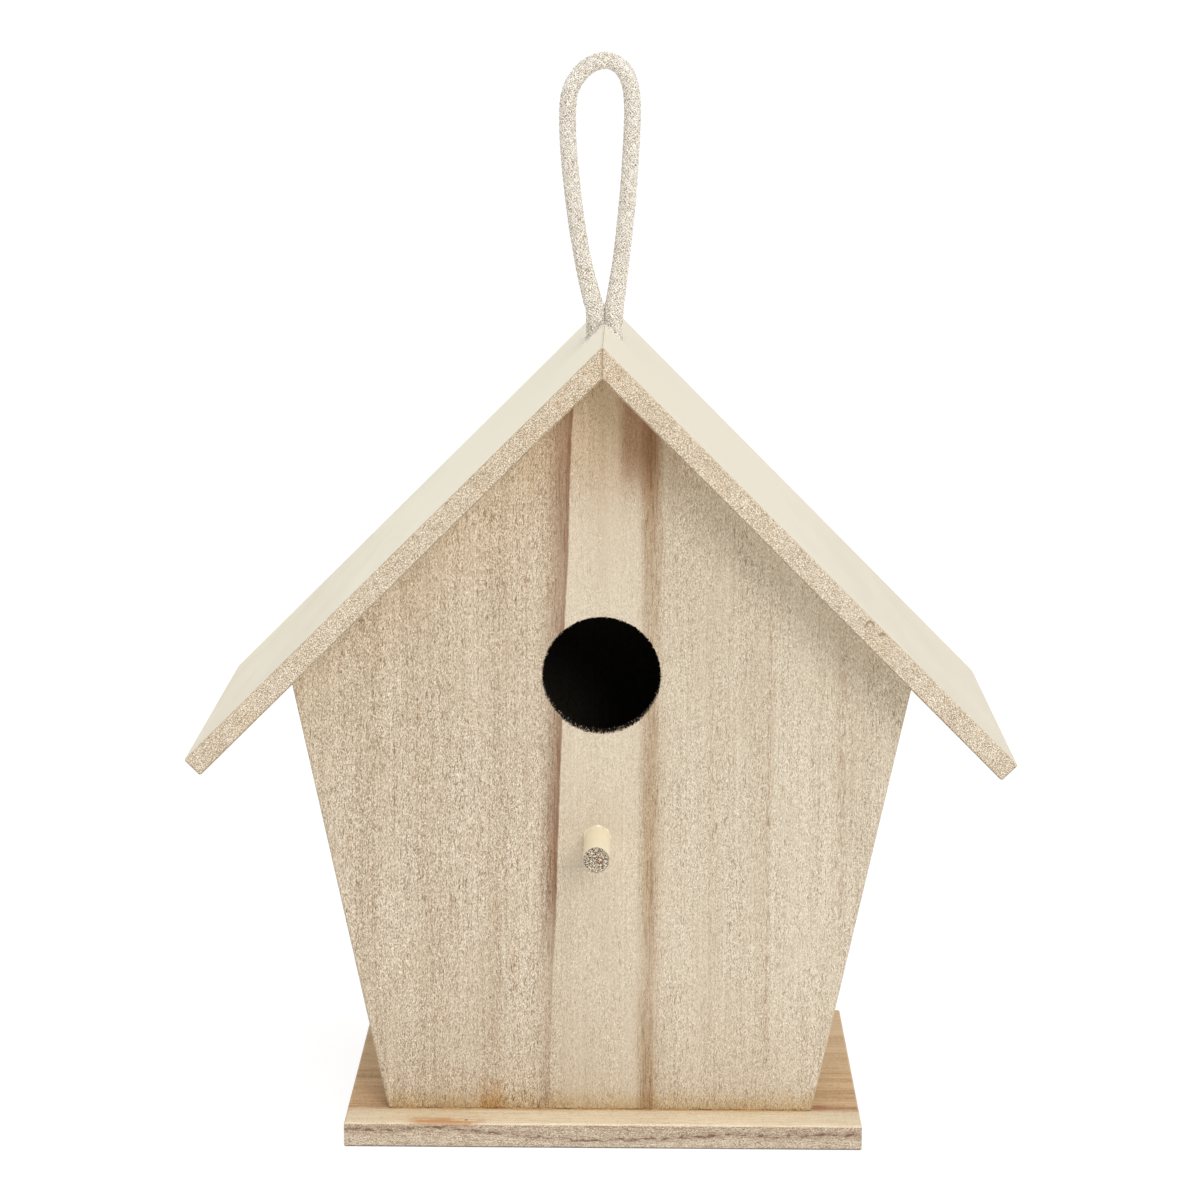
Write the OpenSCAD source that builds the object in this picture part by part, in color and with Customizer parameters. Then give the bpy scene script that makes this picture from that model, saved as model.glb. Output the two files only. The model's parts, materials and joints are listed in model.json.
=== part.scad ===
// Small wooden birdhouse on a base board, with a hanging loop of braided cotton cord.
// Origin: under the middle of the house, on the base board's underside.
// X to the right, front towards -Y, Z up.

/* [House] */
// Height of the roof ridge above the underside of the base
ridge_h = 206; // [190:1:230]
// Depth of the house over the front and back panels
house_d = 78; // [60:1:110]
// Thickness of the four wall panels
wall_t = 6; // [5:0.5:8]
// Width of the front and back panels at their foot
foot_w = 109; // [95:1:115]
// Lean of the side walls, outwards going up, in degrees
side_lean = 12; // [6:0.5:14]

/* [Base board] */
// Thickness of the base board
base_t = 6.5; // [5:0.5:10]
// Width of the ledge that the base board leaves round the walls
base_lip = 11.5; // [8:0.5:20]
// How far the base board sits to the right of the house's middle
base_shift = 0.9; // [-2:0.1:2]

/* [Roof] */
// Thickness of the roof boards
roof_t = 5.6; // [5:0.1:7]
// Length of a roof board down its slope, along the outer face
roof_slope = 146; // [135:1:160]
// How far the roof stands out past the front and back panels
roof_overhang = 20; // [10:1:30]

/* [Entrance and perch] */
// Diameter of the entrance hole
entrance_d = 30; // [26:1:36]
// Height of the centre of the entrance hole
entrance_z = 120.8; // [112:0.1:130]
// Diameter of the perch
perch_d = 6.6; // [5:0.1:8]
// How far the perch stands out of the front panel
perch_out = 22; // [12:1:35]
// Height of the perch's axis
perch_z = 78.4; // [65:0.1:95]
// Sideways place of the perch, measured from the middle
perch_x = -0.9; // [-2:0.1:2]

/* [Hanging cord] */
// Diameter of the cord
cord_d = 4.5; // [3.5:0.1:4.6]
// Diameter of the hole that the cord passes through at the ridge
cord_hole_d = 10; // [9.8:0.1:12]
// Height of the point where the loop bends, above the ridge
bend_h = 3; // [2.6:0.1:5]

/* [Finish] */
// Width of the eased edges of the boards
ease = 0.4; // [0.2:0.1:0.8]

/* [Hidden] */
$fn = 64;

// Slope of the roof: the two boards meet at a right angle
roof_pitch = 45;

base_w = foot_w + 2 * base_lip;
base_d = house_d + 2 * base_lip;
roof_d = house_d + 2 * roof_overhang;
front_y = -house_d / 2;
side_d = house_d - 2 * wall_t;

// Half width and drop of a roof board, and the height of the roof's underside at the ridge
eave_x = roof_slope * cos(roof_pitch);
eave_z = ridge_h - roof_slope * sin(roof_pitch);
under_h = ridge_h - roof_t / cos(roof_pitch);

// Easing on the upper edge of the mitre, much smaller than on the other edges
mitre_ease = 0.2;
// Gap between the perch and its hole, on the diameter, filled by glue
perch_glue_gap = 0.1;
// Length of the perch inside the front panel
perch_in = wall_t;

// Round wire brads with a small flat head
brad_d = 1.2;
brad_head_d = 2.4;
brad_head_t = 0.6;
brad_length = 18;
// Depth of the heads below the surface
brad_sink = 0.2;
// Places of the brads, from the middle of the board that they hold
base_brad_x = 34;
back_brad_z = [34, 96];

cord_r = cord_d / 2;
// Half the distance between the two legs of the cord where they pass through the ridge
leg_x = 2.4;
bend_z = ridge_h + bend_h;
// Gap that the loop keeps from the cord's root, so that it can tilt
bend_gap = 0.35;
// The knot under the ridge: a bun with a rounded rim
knot_rim_r = 3.8;
knot_core_r = 3.2;
knot_z = 189;
tail_length = 13;
tail_spread = 16;

// Route of the loop's centre line, as X and height above the ridge, from the left leg to the right
LOOP_ROUTE = [
    [-2.4, 3], [-3.3, 6.5], [-5.6, 16], [-7.6, 28], [-9.2, 42], [-9.7, 52], [-9.2, 59], [-6.7, 63.8],
    [-3.2, 66.6], [0.6, 67.3], [4, 65.6], [6.1, 61.8], [6.9, 55.5], [6.6, 45], [5.9, 33.5],
    [4.6, 20], [3.2, 9], [2.4, 3]
];
LOOP_STEPS = 4;
CORD_SIDES = 10;

// Half width of the walls' outer faces at height z, and of their inner faces
function wall_x(z) = foot_w / 2 + (z - base_t) * tan(side_lean);
function inner_x(z) = wall_x(z) - wall_t / cos(side_lean);
function mid_x(z) = (wall_x(z) + inner_x(z)) / 2;
// Height at which a wall face that stands foot_x out at its foot meets the roof's underside
function meet_z(foot_x) = (under_h - foot_x + base_t * tan(side_lean)) / (1 + tan(side_lean));

// A point on the smooth curve through the points p, at u from point i towards point i + 1
function route_point(p, i) = i < 0 ? 2 * p[0] - p[1]
    : i >= len(p) ? 2 * p[len(p) - 1] - p[len(p) - 2]
    : p[i];
function spline(p, i, u) =
    let (a = route_point(p, i - 1), b = p[i], c = route_point(p, i + 1), d = route_point(p, i + 2))
    0.5 * (2 * b + (c - a) * u + (2 * a - 5 * b + 4 * c - d) * u * u
        + (3 * b - a - 3 * c + d) * u * u * u);
function smooth_route(p, steps) = concat(
    [for (i = [0 : len(p) - 2]) for (k = [0 : steps - 1]) spline(p, i, k / steps)],
    [p[len(p) - 1]]
);

// Direction of a route at its point i, and the ring of points round it in the XZ plane
function heading(route, i) =
    let (a = route[max(i - 1, 0)], b = route[min(i + 1, len(route) - 1)])
    (b - a) / norm(b - a);
function ring(route, i, r, sides) =
    let (along = heading(route, i), across = [-along.y, along.x])
    [for (k = [0 : sides - 1])
        let (out = r * cos(360 * k / sides))
        [route[i].x + out * across.x, r * sin(360 * k / sides), route[i].y + out * across.y]];

// The route of a round end of radius r, as [point, ring radius], from its tip to its rim
function round_end(rim, outwards, r) = [for (a = [80, 55, 28]) [rim + outwards * r * sin(a), r * cos(a)]];

// A round tube with round ends along a route in the XZ plane
module swept_cord(path, r, sides) {
    last = len(path) - 1;
    foot = round_end(path[0], -heading(path, 0), r);
    tip = round_end(path[last], heading(path, last), r);
    stations = concat(foot, [for (p = path) [p, r]], [for (k = [2 : -1 : 0]) tip[k]]);
    route = [for (s = stations) s[0]];
    rings = len(route);
    points = [for (i = [0 : rings - 1]) each ring(route, i, stations[i][1], sides)];
    sleeve = [for (i = [0 : rings - 2]) for (k = [0 : sides - 1])
        let (n = (k + 1) % sides, here = i * sides, next = here + sides)
        [here + k, here + n, next + n, next + k]];
    first_end = [for (k = [0 : sides - 1]) sides - 1 - k];
    last_end = [for (k = [0 : sides - 1]) (rings - 1) * sides + k];
    polyhedron(points, concat([first_end], sleeve, [last_end]));
}

// Stands an outline drawn in X and Z upright, centred on Y, with the given depth
module upright(depth) {
    rotate([90, 0, 0]) linear_extrude(depth, center = true) children();
}

// A convex board from an outline in X and Z, with its sharp edges eased on both faces
module eased_board(depth) {
    hull() {
        upright(depth - 2 * ease) children();
        upright(depth) offset(delta = -ease) children();
    }
}

// Outline of the front and back panels: narrow foot, leaning sides, gable top
module panel_outline() {
    corner_z = meet_z(foot_w / 2);
    polygon([
        [-foot_w / 2, base_t], [foot_w / 2, base_t],
        [wall_x(corner_z), corner_z], [0, under_h], [-wall_x(corner_z), corner_z]
    ]);
}

// Outline of the right side wall, cut to the base below and to the roof above
module side_outline() {
    outer_z = meet_z(foot_w / 2);
    inner_z = meet_z(foot_w / 2 - wall_t / cos(side_lean));
    polygon([
        [inner_x(base_t), base_t], [wall_x(base_t), base_t],
        [wall_x(outer_z), outer_z], [inner_x(inner_z), inner_z]
    ]);
}

// Outline of the right roof board: mitred at the ridge, square at the eave
module roof_outline() {
    slope = [cos(roof_pitch), -sin(roof_pitch)];
    normal = [sin(roof_pitch), cos(roof_pitch)];
    eave = [eave_x, eave_z];
    polygon([
        [0, under_h], [0, ridge_h - 2 * mitre_ease],
        [mitre_ease, ridge_h - mitre_ease],
        eave - slope * ease, eave - normal * ease,
        eave - normal * (roof_t - ease), eave - normal * roof_t - slope * ease
    ]);
}

module cord_hole() {
    translate([0, 0, knot_z]) cylinder(h = ridge_h, d = cord_hole_d);
}

// A brad that points along +Z, its head's top at the origin; as a hole it opens to the surface
module brad(hole) {
    open_d = hole ? brad_sink + 1 : 0;
    translate([0, 0, -open_d]) cylinder(h = brad_head_t + open_d, d = brad_head_d);
    cylinder(h = brad_length, d = brad_d);
}

// Brads driven up through the base into the walls' feet
module base_brad_set(hole = false) {
    for (x = [-base_brad_x, base_brad_x]) for (side = [-1, 1])
        translate([x, side * (house_d - wall_t) / 2, brad_sink]) brad(hole);
    for (side = [-1, 1])
        translate([side * mid_x(0), 0, brad_sink]) rotate([0, side * side_lean, 0]) brad(hole);
}

// Brads driven through the back panel into the back edges of the side walls
module back_brad_set(hole = false) {
    for (side = [-1, 1]) for (z = back_brad_z)
        translate([side * mid_x(z), house_d / 2 - brad_sink, z]) rotate([90, 0, 0]) brad(hole);
}

module base_board() {
    color("burlywood") difference() {
        hull() {
            translate([base_shift, 0, 0]) linear_extrude(base_t)
                square([base_w - 2 * ease, base_d - 2 * ease], center = true);
            translate([base_shift, 0, ease]) linear_extrude(base_t - 2 * ease)
                square([base_w, base_d], center = true);
        }
        base_brad_set(hole = true);
    }
}

module front_panel() {
    color("wheat") difference() {
        translate([0, front_y + wall_t / 2, 0]) eased_board(wall_t) panel_outline();
        translate([0, front_y + wall_t / 2, entrance_z]) rotate([90, 0, 0])
            cylinder(h = 2 * wall_t, d = entrance_d, center = true);
        translate([perch_x, front_y + wall_t / 2, perch_z]) rotate([90, 0, 0])
            cylinder(h = 2 * wall_t, d = perch_d + perch_glue_gap, center = true);
        base_brad_set(hole = true);
    }
}

module back_panel() {
    color("wheat") difference() {
        translate([0, -front_y - wall_t / 2, 0]) eased_board(wall_t) panel_outline();
        base_brad_set(hole = true);
        back_brad_set(hole = true);
    }
}

module right_side_panel() {
    color("wheat") difference() {
        upright(side_d) side_outline();
        base_brad_set(hole = true);
        back_brad_set(hole = true);
    }
}

module left_side_panel() {
    mirror([1, 0, 0]) right_side_panel();
}

module right_roof_board() {
    color("blanchedalmond") difference() {
        eased_board(roof_d) roof_outline();
        cord_hole();
    }
}

module left_roof_board() {
    mirror([1, 0, 0]) right_roof_board();
}

module perch() {
    color("antiquewhite") translate([perch_x, front_y + perch_in, perch_z]) rotate([90, 0, 0]) {
        cylinder(h = perch_in + perch_out - ease, d = perch_d);
        translate([0, 0, perch_in + perch_out - ease])
            cylinder(h = ease, d1 = perch_d, d2 = perch_d - 2 * ease);
    }
}

module base_brads() {
    color("silver") base_brad_set();
}

module back_brads() {
    color("silver") back_brad_set();
}

// The loop above the bend; each leg ends round, about the bending axis
module cord_loop() {
    path = [for (p = smooth_route(LOOP_ROUTE, LOOP_STEPS)) [p.x, ridge_h + p.y]];
    color("linen") swept_cord(path, cord_r, CORD_SIDES);
}

// The two legs where they pass down through the ridge
module cord_root() {
    root_top = bend_z - cord_r - bend_gap;
    root_foot = knot_z + knot_rim_r;
    color("linen") for (x = [-leg_x, leg_x])
        translate([x, 0, root_foot]) cylinder(h = root_top - root_foot, r = cord_r);
}

// The knot that holds both legs under the ridge, with its two cut tails
module cord_knot() {
    color("linen") translate([0, 0, knot_z]) {
        rotate_extrude() {
            intersection() {
                translate([knot_core_r, 0]) circle(r = knot_rim_r);
                translate([0, -knot_rim_r]) square([knot_core_r + knot_rim_r, 2 * knot_rim_r]);
            }
            translate([0, -knot_rim_r]) square([knot_core_r, 2 * knot_rim_r]);
        }
        for (side = [-1, 1]) rotate([0, side * tail_spread, 0]) translate([-side * leg_x, 0, -tail_length])
            cylinder(h = tail_length, r = cord_r);
    }
}

base_board();
front_panel();
back_panel();
left_side_panel();
right_side_panel();
left_roof_board();
right_roof_board();
perch();
base_brads();
back_brads();
cord_loop();
cord_root();
cord_knot();
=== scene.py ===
import json
import math
import random

import bpy
import numpy as np
from mathutils import Matrix, Vector


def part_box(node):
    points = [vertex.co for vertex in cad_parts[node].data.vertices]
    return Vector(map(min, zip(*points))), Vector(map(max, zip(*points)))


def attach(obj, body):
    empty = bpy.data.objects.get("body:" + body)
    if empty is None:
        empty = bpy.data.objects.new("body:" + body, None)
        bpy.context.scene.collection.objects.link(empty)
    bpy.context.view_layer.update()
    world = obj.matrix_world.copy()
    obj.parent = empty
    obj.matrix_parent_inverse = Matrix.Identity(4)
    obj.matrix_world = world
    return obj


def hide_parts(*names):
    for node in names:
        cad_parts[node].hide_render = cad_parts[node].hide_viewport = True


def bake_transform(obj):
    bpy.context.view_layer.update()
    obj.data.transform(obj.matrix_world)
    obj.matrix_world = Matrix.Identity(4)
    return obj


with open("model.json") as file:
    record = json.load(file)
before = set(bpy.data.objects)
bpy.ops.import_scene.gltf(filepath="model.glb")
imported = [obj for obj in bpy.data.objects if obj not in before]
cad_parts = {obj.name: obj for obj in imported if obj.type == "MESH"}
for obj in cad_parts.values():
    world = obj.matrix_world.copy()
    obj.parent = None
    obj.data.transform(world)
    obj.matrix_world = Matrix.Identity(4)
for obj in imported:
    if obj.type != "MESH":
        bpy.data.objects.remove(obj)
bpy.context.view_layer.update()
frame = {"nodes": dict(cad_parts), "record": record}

MM = 0.001

# ---------------------------------------------------------------- places taken from the frame
PANEL_LOW, PANEL_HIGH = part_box("front_panel")
BASE_LOW, BASE_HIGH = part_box("base_board")
PERCH_LOW, PERCH_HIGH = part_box("perch")
MOUNTS = {m["name"]: m for m in frame["record"]["mounts"]}
HOLE_CENTRE = Vector(MOUNTS["entrance_hole"]["pos_m"])
HOLE_R = MOUNTS["entrance_hole"]["dims"]["r_mm"] * MM
FRONT_Y = PANEL_LOW.y
FOOT_Z = BASE_HIGH.z
RIDGE_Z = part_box("right_roof_board")[1].z
PERCH_R = (PERCH_HIGH.x - PERCH_LOW.x) / 2
PERCH_AXIS = Vector(((PERCH_LOW.x + PERCH_HIGH.x) / 2, 0, (PERCH_LOW.z + PERCH_HIGH.z) / 2))
# The side walls' half width at their feet, and how they lean outwards, as in part.scad
FOOT_HALF_W = 54.5 * MM
LEAN = math.tan(math.radians(12))
WALL_T = PANEL_HIGH.y - PANEL_LOW.y
UNDER_RIDGE_Z = PANEL_HIGH.z


# ---------------------------------------------------------------- camera
CAMERA_PLACE = (0.0083, -0.8974, 0.2952)
CAMERA_PITCH, CAMERA_YAW, CAMERA_ROLL = 10.24, -0.586, 0.244
LENS, SENSOR_WIDTH = 104.2, 36


def make_camera():
    """A long lens in front of the house and a little above it, looking slightly down."""
    pitch, yaw, roll = (math.radians(a) for a in (CAMERA_PITCH, CAMERA_YAW, CAMERA_ROLL))
    forward = Vector((math.sin(yaw) * math.cos(pitch), math.cos(yaw) * math.cos(pitch), -math.sin(pitch)))
    level = Vector((math.cos(yaw), -math.sin(yaw), 0))
    upright = level.cross(forward)
    right = level * math.cos(roll) + upright * math.sin(roll)
    up = upright * math.cos(roll) - level * math.sin(roll)
    data = bpy.data.cameras.new("camera")
    data.sensor_width = SENSOR_WIDTH
    data.lens = LENS
    camera = bpy.data.objects.new("camera", data)
    bpy.context.scene.collection.objects.link(camera)
    turn = Matrix((right, up, -forward)).transposed()
    camera.matrix_world = Matrix.Translation(CAMERA_PLACE) @ turn.to_4x4()
    bpy.context.scene.camera = camera


make_camera()

# ---------------------------------------------------------------- lines, tubes and braids
CORD_D = 4.5 * MM
LEG_X = 2.4
# The cord's route, as X and height above the ridge in millimetres, from one root round to the other
CORD_ROUTE = [
    (-LEG_X, -13), (-LEG_X, -6), (-2.4, 3), (-3.3, 6.5), (-5.6, 16), (-7.6, 28), (-9.2, 42), (-9.7, 52),
    (-9.2, 59), (-6.7, 63.8), (-3.2, 66.6), (0.6, 67.3), (4, 65.6), (6.1, 61.8), (6.9, 55.5),
    (6.6, 45), (5.9, 33.5), (4.6, 20), (3.2, 9), (2.4, 3), (LEG_X, -6), (LEG_X, -13),
]


def smooth_line(points):
    """Points on the smooth curve through the given ones, which runs straight on at its ends."""
    steps = 8
    p = np.array(points, float)
    p = np.vstack([2 * p[0] - p[1], p, 2 * p[-1] - p[-2]])
    out = []
    for i in range(1, len(p) - 2):
        a, b, c, d = p[i - 1:i + 3]
        for u in np.arange(steps) / steps:
            out.append(0.5 * (2 * b + (c - a) * u + (2 * a - 5 * b + 4 * c - d) * u ** 2
                              + (3 * b - a - 3 * c + d) * u ** 3))
    return np.array(out + [p[-2]])


def evenly(line, step):
    """The line again, with its points a step apart, and how far along it each one is."""
    along = np.concatenate([[0], np.cumsum(np.linalg.norm(np.diff(line, axis=0), axis=1))])
    at = np.linspace(0, along[-1], round(along[-1] / step) + 1)
    return np.stack([np.interp(at, along, line[:, k]) for k in range(3)], axis=1), at


def unit(v):
    return v / np.linalg.norm(v, axis=-1, keepdims=True)


def carried_sides(line, first=(0, 1, 0)):
    """Two directions square to the line at each point, turned as little as possible along it."""
    tangents = unit(np.gradient(line, axis=0))
    side, sides = np.array(first, float), []
    for t in tangents:
        side = unit(side - t * (side @ t))
        sides.append(side)
    sides = np.array(sides)
    return sides, np.cross(tangents, sides)


def tube_faces(rings, around):
    """Quads between rings of points, and the two end caps."""
    faces = []
    for i in range(rings - 1):
        for k in range(around):
            n = (k + 1) % around
            a, b = i * around, (i + 1) * around
            faces.append((a + k, a + n, b + n, b + k))
    last = (rings - 1) * around
    faces.append(tuple(reversed(range(around))))
    faces.append(tuple(last + k for k in range(around)))
    return faces


class Mesh:
    """Points, faces and a tone per point, gathered and then made into one object."""

    def __init__(self):
        self.points, self.faces, self.tones, self.count = [], [], [], 0

    def add(self, points, faces, tone=0.5):
        self.faces += [tuple(self.count + i for i in f) for f in faces]
        self.points.append(np.asarray(points, float))
        self.tones.append(np.full(len(points), tone))
        self.count += len(points)

    def tube(self, centres, across, out, half_w, half_t, around, tone=0.5):
        """A tube round a line of centres, half_w wide along across and half_t thick along out."""
        turn = 2 * np.pi * np.arange(around) / around
        half_w, half_t = np.broadcast_to(half_w, len(centres)), np.broadcast_to(half_t, len(centres))
        rings = (centres[:, None]
                 + (half_w[:, None] * np.cos(turn))[..., None] * across[:, None]
                 + (half_t[:, None] * np.sin(turn))[..., None] * out[:, None])
        self.add(rings.reshape(-1, 3), tube_faces(len(centres), around), tone)

    def finish(self, name, material):
        mesh = bpy.data.meshes.new(name)
        mesh.from_pydata(np.vstack(self.points).tolist(), [], self.faces)
        mesh.attributes.new("tone", "FLOAT", "POINT").data.foreach_set("value", np.concatenate(self.tones))
        mesh.materials.append(material)
        mesh.polygons.foreach_set("use_smooth", [True] * len(mesh.polygons))
        piece = bpy.data.objects.new(name, mesh)
        bpy.context.scene.collection.objects.link(piece)
        return piece


# Just above the ridge the cord's strands are pressed apart, which swells it
SWELL, SWELL_HEIGHT, SWELL_REACH, SWELL_DEPTH = 0.15, 3 * MM, 9 * MM, 8 * MM
STRANDS_EACH_WAY, LAY = 8, 14 * MM


def braid(mesh, line, radius, rng, step=0.3 * MM):
    """A braided sleeve round a line: strands of two yarns wound both ways, over one and under the next."""
    centres, along = evenly(line, step)
    side, up = carried_sides(centres)
    above = centres[:, 2] - RIDGE_Z - SWELL_HEIGHT
    radius = radius * (1 + SWELL * np.exp(-(above / SWELL_REACH) ** 2) * (above > -SWELL_DEPTH))
    thick, weave, half_w = 0.13 * radius, 0.1 * radius, 0.235 * radius
    middle = radius - thick - weave
    end_taper = np.clip(np.minimum(along, along[-1] - along) / (2 * step), 0.2, 1)
    for way in (1, -1):
        for k in range(STRANDS_EACH_WAY):
            turn = way * 2 * np.pi * along / LAY + 2 * np.pi * k / STRANDS_EACH_WAY
            out = side * np.cos(turn)[:, None] + up * np.sin(turn)[:, None]
            lift = way * weave * np.cos(STRANDS_EACH_WAY * 2 * np.pi * along / LAY)
            strand = centres + (middle + lift)[:, None] * out
            across = unit(np.cross(unit(np.gradient(strand, axis=0)), out))
            plump = 1 + 0.12 * np.sin(along / (rng.uniform(0.5, 0.9) * MM) + rng.uniform(0, 6.3))
            for yarn in (-0.5, 0.5):
                beside = strand + (yarn * half_w * end_taper)[:, None] * across
                yarn_w = 0.56 * half_w * plump * end_taper
                mesh.tube(beside, across, out, yarn_w, thick * end_taper, 5, rng.random())
    # The core gets the lowest tone, painted shade where it shows between the strands
    core = middle - 0.35 * thick
    mesh.tube(centres[::3], side[::3], up[::3], core[::3], core[::3], 12, 0)


def hair(mesh, root, direction, length, thickness, rng, bend, tone=None):
    """One thin fibre that leaves root in a direction and curls over, with its own tone unless one is given."""
    direction = unit(np.array(direction, float))
    curl = np.array([rng.uniform(-1, 1) for _ in range(3)]) * bend
    u = np.linspace(0, 1, 5)[:, None]
    line = np.array(root) + length * (direction * u + curl * u ** 2)
    side, up = carried_sides(line, first=(0.3, 0.5, 0.8))
    width = thickness * (1 - 0.6 * u[:, 0])
    mesh.tube(line, side, up, width, width, 3, rng.random() if tone is None else tone)


# ---------------------------------------------------------------- material building
def colour(r, g, b):
    """A colour as seen on a screen, 0 to 255, as the linear numbers that shaders use."""
    return tuple((v / 12.92 if v <= 0.04045 else ((v + 0.055) / 1.055) ** 2.4)
                 for v in (r / 255, g / 255, b / 255)) + (1,)


def shades(*stops):
    """Ramp stops from (place, red, green, blue), with colours as seen on a screen."""
    return [(place, colour(*rgb)) for place, *rgb in stops]


class Nodes:
    """Short calls that build one material's nodes."""

    def __init__(self, name, roughness=0.7, **sockets):
        self.material = bpy.data.materials.new(name)
        self.material.use_nodes = True
        self.tree = self.material.node_tree
        self.shader = self.tree.nodes["Principled BSDF"]
        self.shader.inputs["Roughness"].default_value = roughness
        for socket, value in sockets.items():
            self.shader.inputs[socket.replace("_", " ")].default_value = value
        self.place = self.add("ShaderNodeTexCoord").outputs["Object"]
        self.x, self.y, self.z = self.split(self.place)

    def add(self, kind, inputs=None, **settings):
        node = self.tree.nodes.new(kind)
        for name, value in settings.items():
            setattr(node, name, value)
        for socket, value in (inputs or {}).items():
            if isinstance(value, bpy.types.NodeSocket):
                self.tree.links.new(value, node.inputs[socket])
            else:
                node.inputs[socket].default_value = value
        return node

    def split(self, vector):
        """A vector's x, y and z."""
        return tuple(self.add("ShaderNodeSeparateXYZ", {0: vector}).outputs)

    def facing(self):
        """The direction that the surface faces, as x, y and z."""
        return self.split(self.add("ShaderNodeTexCoord").outputs["Normal"])

    def math(self, operation, a, b=0.0, c=0.0, clamp=False):
        node = self.add("ShaderNodeMath", {0: a, 1: b, 2: c}, operation=operation, use_clamp=clamp)
        return node.outputs[0]

    def times(self, a, b):
        return self.math("MULTIPLY", a, b)

    def plus(self, a, b):
        return self.math("ADD", a, b)

    def line(self, value, slope, start, clamp=False):
        """start plus slope times value."""
        return self.math("MULTIPLY_ADD", value, slope, start, clamp)

    def swing(self, noise, amount, about=0.0, clamp=False):
        """about, plus amount times how far the noise is from its middle."""
        return self.line(self.plus(noise, -0.5), amount, about, clamp)

    def gap(self, a, b):
        """How far two numbers are apart."""
        return self.math("ABSOLUTE", self.math("SUBTRACT", a, b))

    def length(self, a, b):
        """The length of the flat vector (a, b)."""
        return self.math("SQRT", self.plus(self.math("POWER", a, 2.0), self.math("POWER", b, 2.0)))

    def step(self, value, low, high):
        """0 below low, 1 above high and smooth between; falling if low is the greater."""
        inputs = {0: value, 1: min(low, high), 2: max(low, high)}
        rise = (0.0, 1.0) if low < high else (1.0, 0.0)
        inputs.update({3: rise[0], 4: rise[1]})
        return self.add("ShaderNodeMapRange", inputs, interpolation_type="SMOOTHSTEP").outputs[0]

    def band(self, value, centre, half_w, soft):
        """1 where value is within half_w of centre, fading to 0 over soft."""
        return self.step(self.gap(value, centre), half_w + soft, half_w)

    def noise(self, size, shift=0.0, detail=2.0, roughness=0.55, distortion=0.0):
        """Noise whose spots are about size = (x, y, z) metres across.

        The shift moves the pattern. The noise is weak on the planes between its cells, so the shifts
        of fine noise are chosen to keep the flat faces of the boards off those planes.
        """
        scaled = self.add("ShaderNodeVectorMath", {0: self.place, 1: [1 / s for s in size]},
                          operation="MULTIPLY").outputs[0]
        moved = self.add("ShaderNodeVectorMath", {0: scaled, 1: (shift, 1.7 * shift, 0.6 * shift)},
                         operation="ADD").outputs[0]
        return self.add("ShaderNodeTexNoise", {"Vector": moved, "Scale": 1.0, "Detail": detail,
                                               "Roughness": roughness, "Distortion": distortion}).outputs[0]

    def mix(self, amount, a, b, kind="MIX"):
        node = self.add("ShaderNodeMix", {"Factor": amount, 6: a, 7: b}, data_type="RGBA", blend_type=kind)
        return node.outputs[2]

    def stain(self, amount, base, r, g, b):
        """base multiplied by a linear colour, as far as amount says."""
        return self.mix(amount, base, (r, g, b, 1), "MULTIPLY")

    def ramp(self, value, stops):
        node = self.add("ShaderNodeValToRGB", {0: value})
        elements = node.color_ramp.elements
        for place, shade in stops[2:]:
            elements.new(place)
        for element, (place, shade) in zip(elements, stops):
            element.position = place
            element.color = shade
        return node.outputs[0]

    def curve(self, value, low, high, stops):
        """A number that follows given stops of (value, number) from low to high."""
        share = self.add("ShaderNodeMapRange", {0: value, 1: low, 2: high}).outputs[0]
        grey = [((at - low) / (high - low), (n, n, n, 1)) for at, n in stops]
        return self.ramp(share, grey)

    def done(self, base, bump=None, distance=0.1 * MM, strength=1.0, roughness=None):
        self.tree.links.new(base, self.shader.inputs["Base Color"])
        if bump is not None:
            node = self.add("ShaderNodeBump", {"Height": bump, "Distance": distance, "Strength": strength})
            self.tree.links.new(node.outputs[0], self.shader.inputs["Normal"])
        if roughness is not None:
            self.tree.links.new(roughness, self.shader.inputs["Roughness"])
        return self.material


# ---------------------------------------------------------------- bare wood
WOOD_GLOSS = 0.25
# Painted shade for the inside of the nest chamber: a near-black colour, and how far it covers
CHAMBER_PAINTED_SHADE = (0.010, 0.006, 0.003, 1)
CHAMBER_SHADE = 0.94


def grain_size(across, along, axis):
    """Spot size of a grain that runs along an axis, 0, 1 or 2."""
    size = [across, across, across]
    size[axis] = along
    return size


def wood_grain(n, axis, contrast, shift, lively=1.0):
    """Bare wood as (tone about 0.5, dark pores, pale flecks, fibre height), rougher in some places."""
    bands = n.noise(grain_size(9 * MM, 260 * MM, axis), shift, 2)
    hairs = n.noise(grain_size(0.42 * MM, 34 * MM, axis), shift + 3.1, 2)
    fibres = n.noise(grain_size(0.15 * MM, 0.45 * MM, axis), shift + 7.94, 2, 0.8)
    rough = n.line(n.noise(grain_size(6 * MM, 26 * MM, axis), shift + 5.2, 2), 1.4, 0.3)
    rough = n.times(rough, lively)
    tone = n.line(n.times(n.plus(bands, -0.5), lively), 0.35 * contrast, 0.5)
    tone = n.line(n.times(n.plus(hairs, -0.5), lively), 0.4 * contrast, tone)
    tone = n.line(n.times(n.plus(fibres, -0.5), rough), 3.1 * contrast, tone)
    pores = n.noise(grain_size(0.19 * MM, 2.0 * MM, axis), shift + 11.04, 1)
    pores = n.times(n.step(pores, 0.64, 0.72), rough)
    flecks = n.noise(grain_size(0.19 * MM, 0.42 * MM, axis), shift + 18.1, 1)
    flecks = n.times(n.step(flecks, 0.66, 0.74), rough)
    return tone, pores, flecks, fibres


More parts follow.
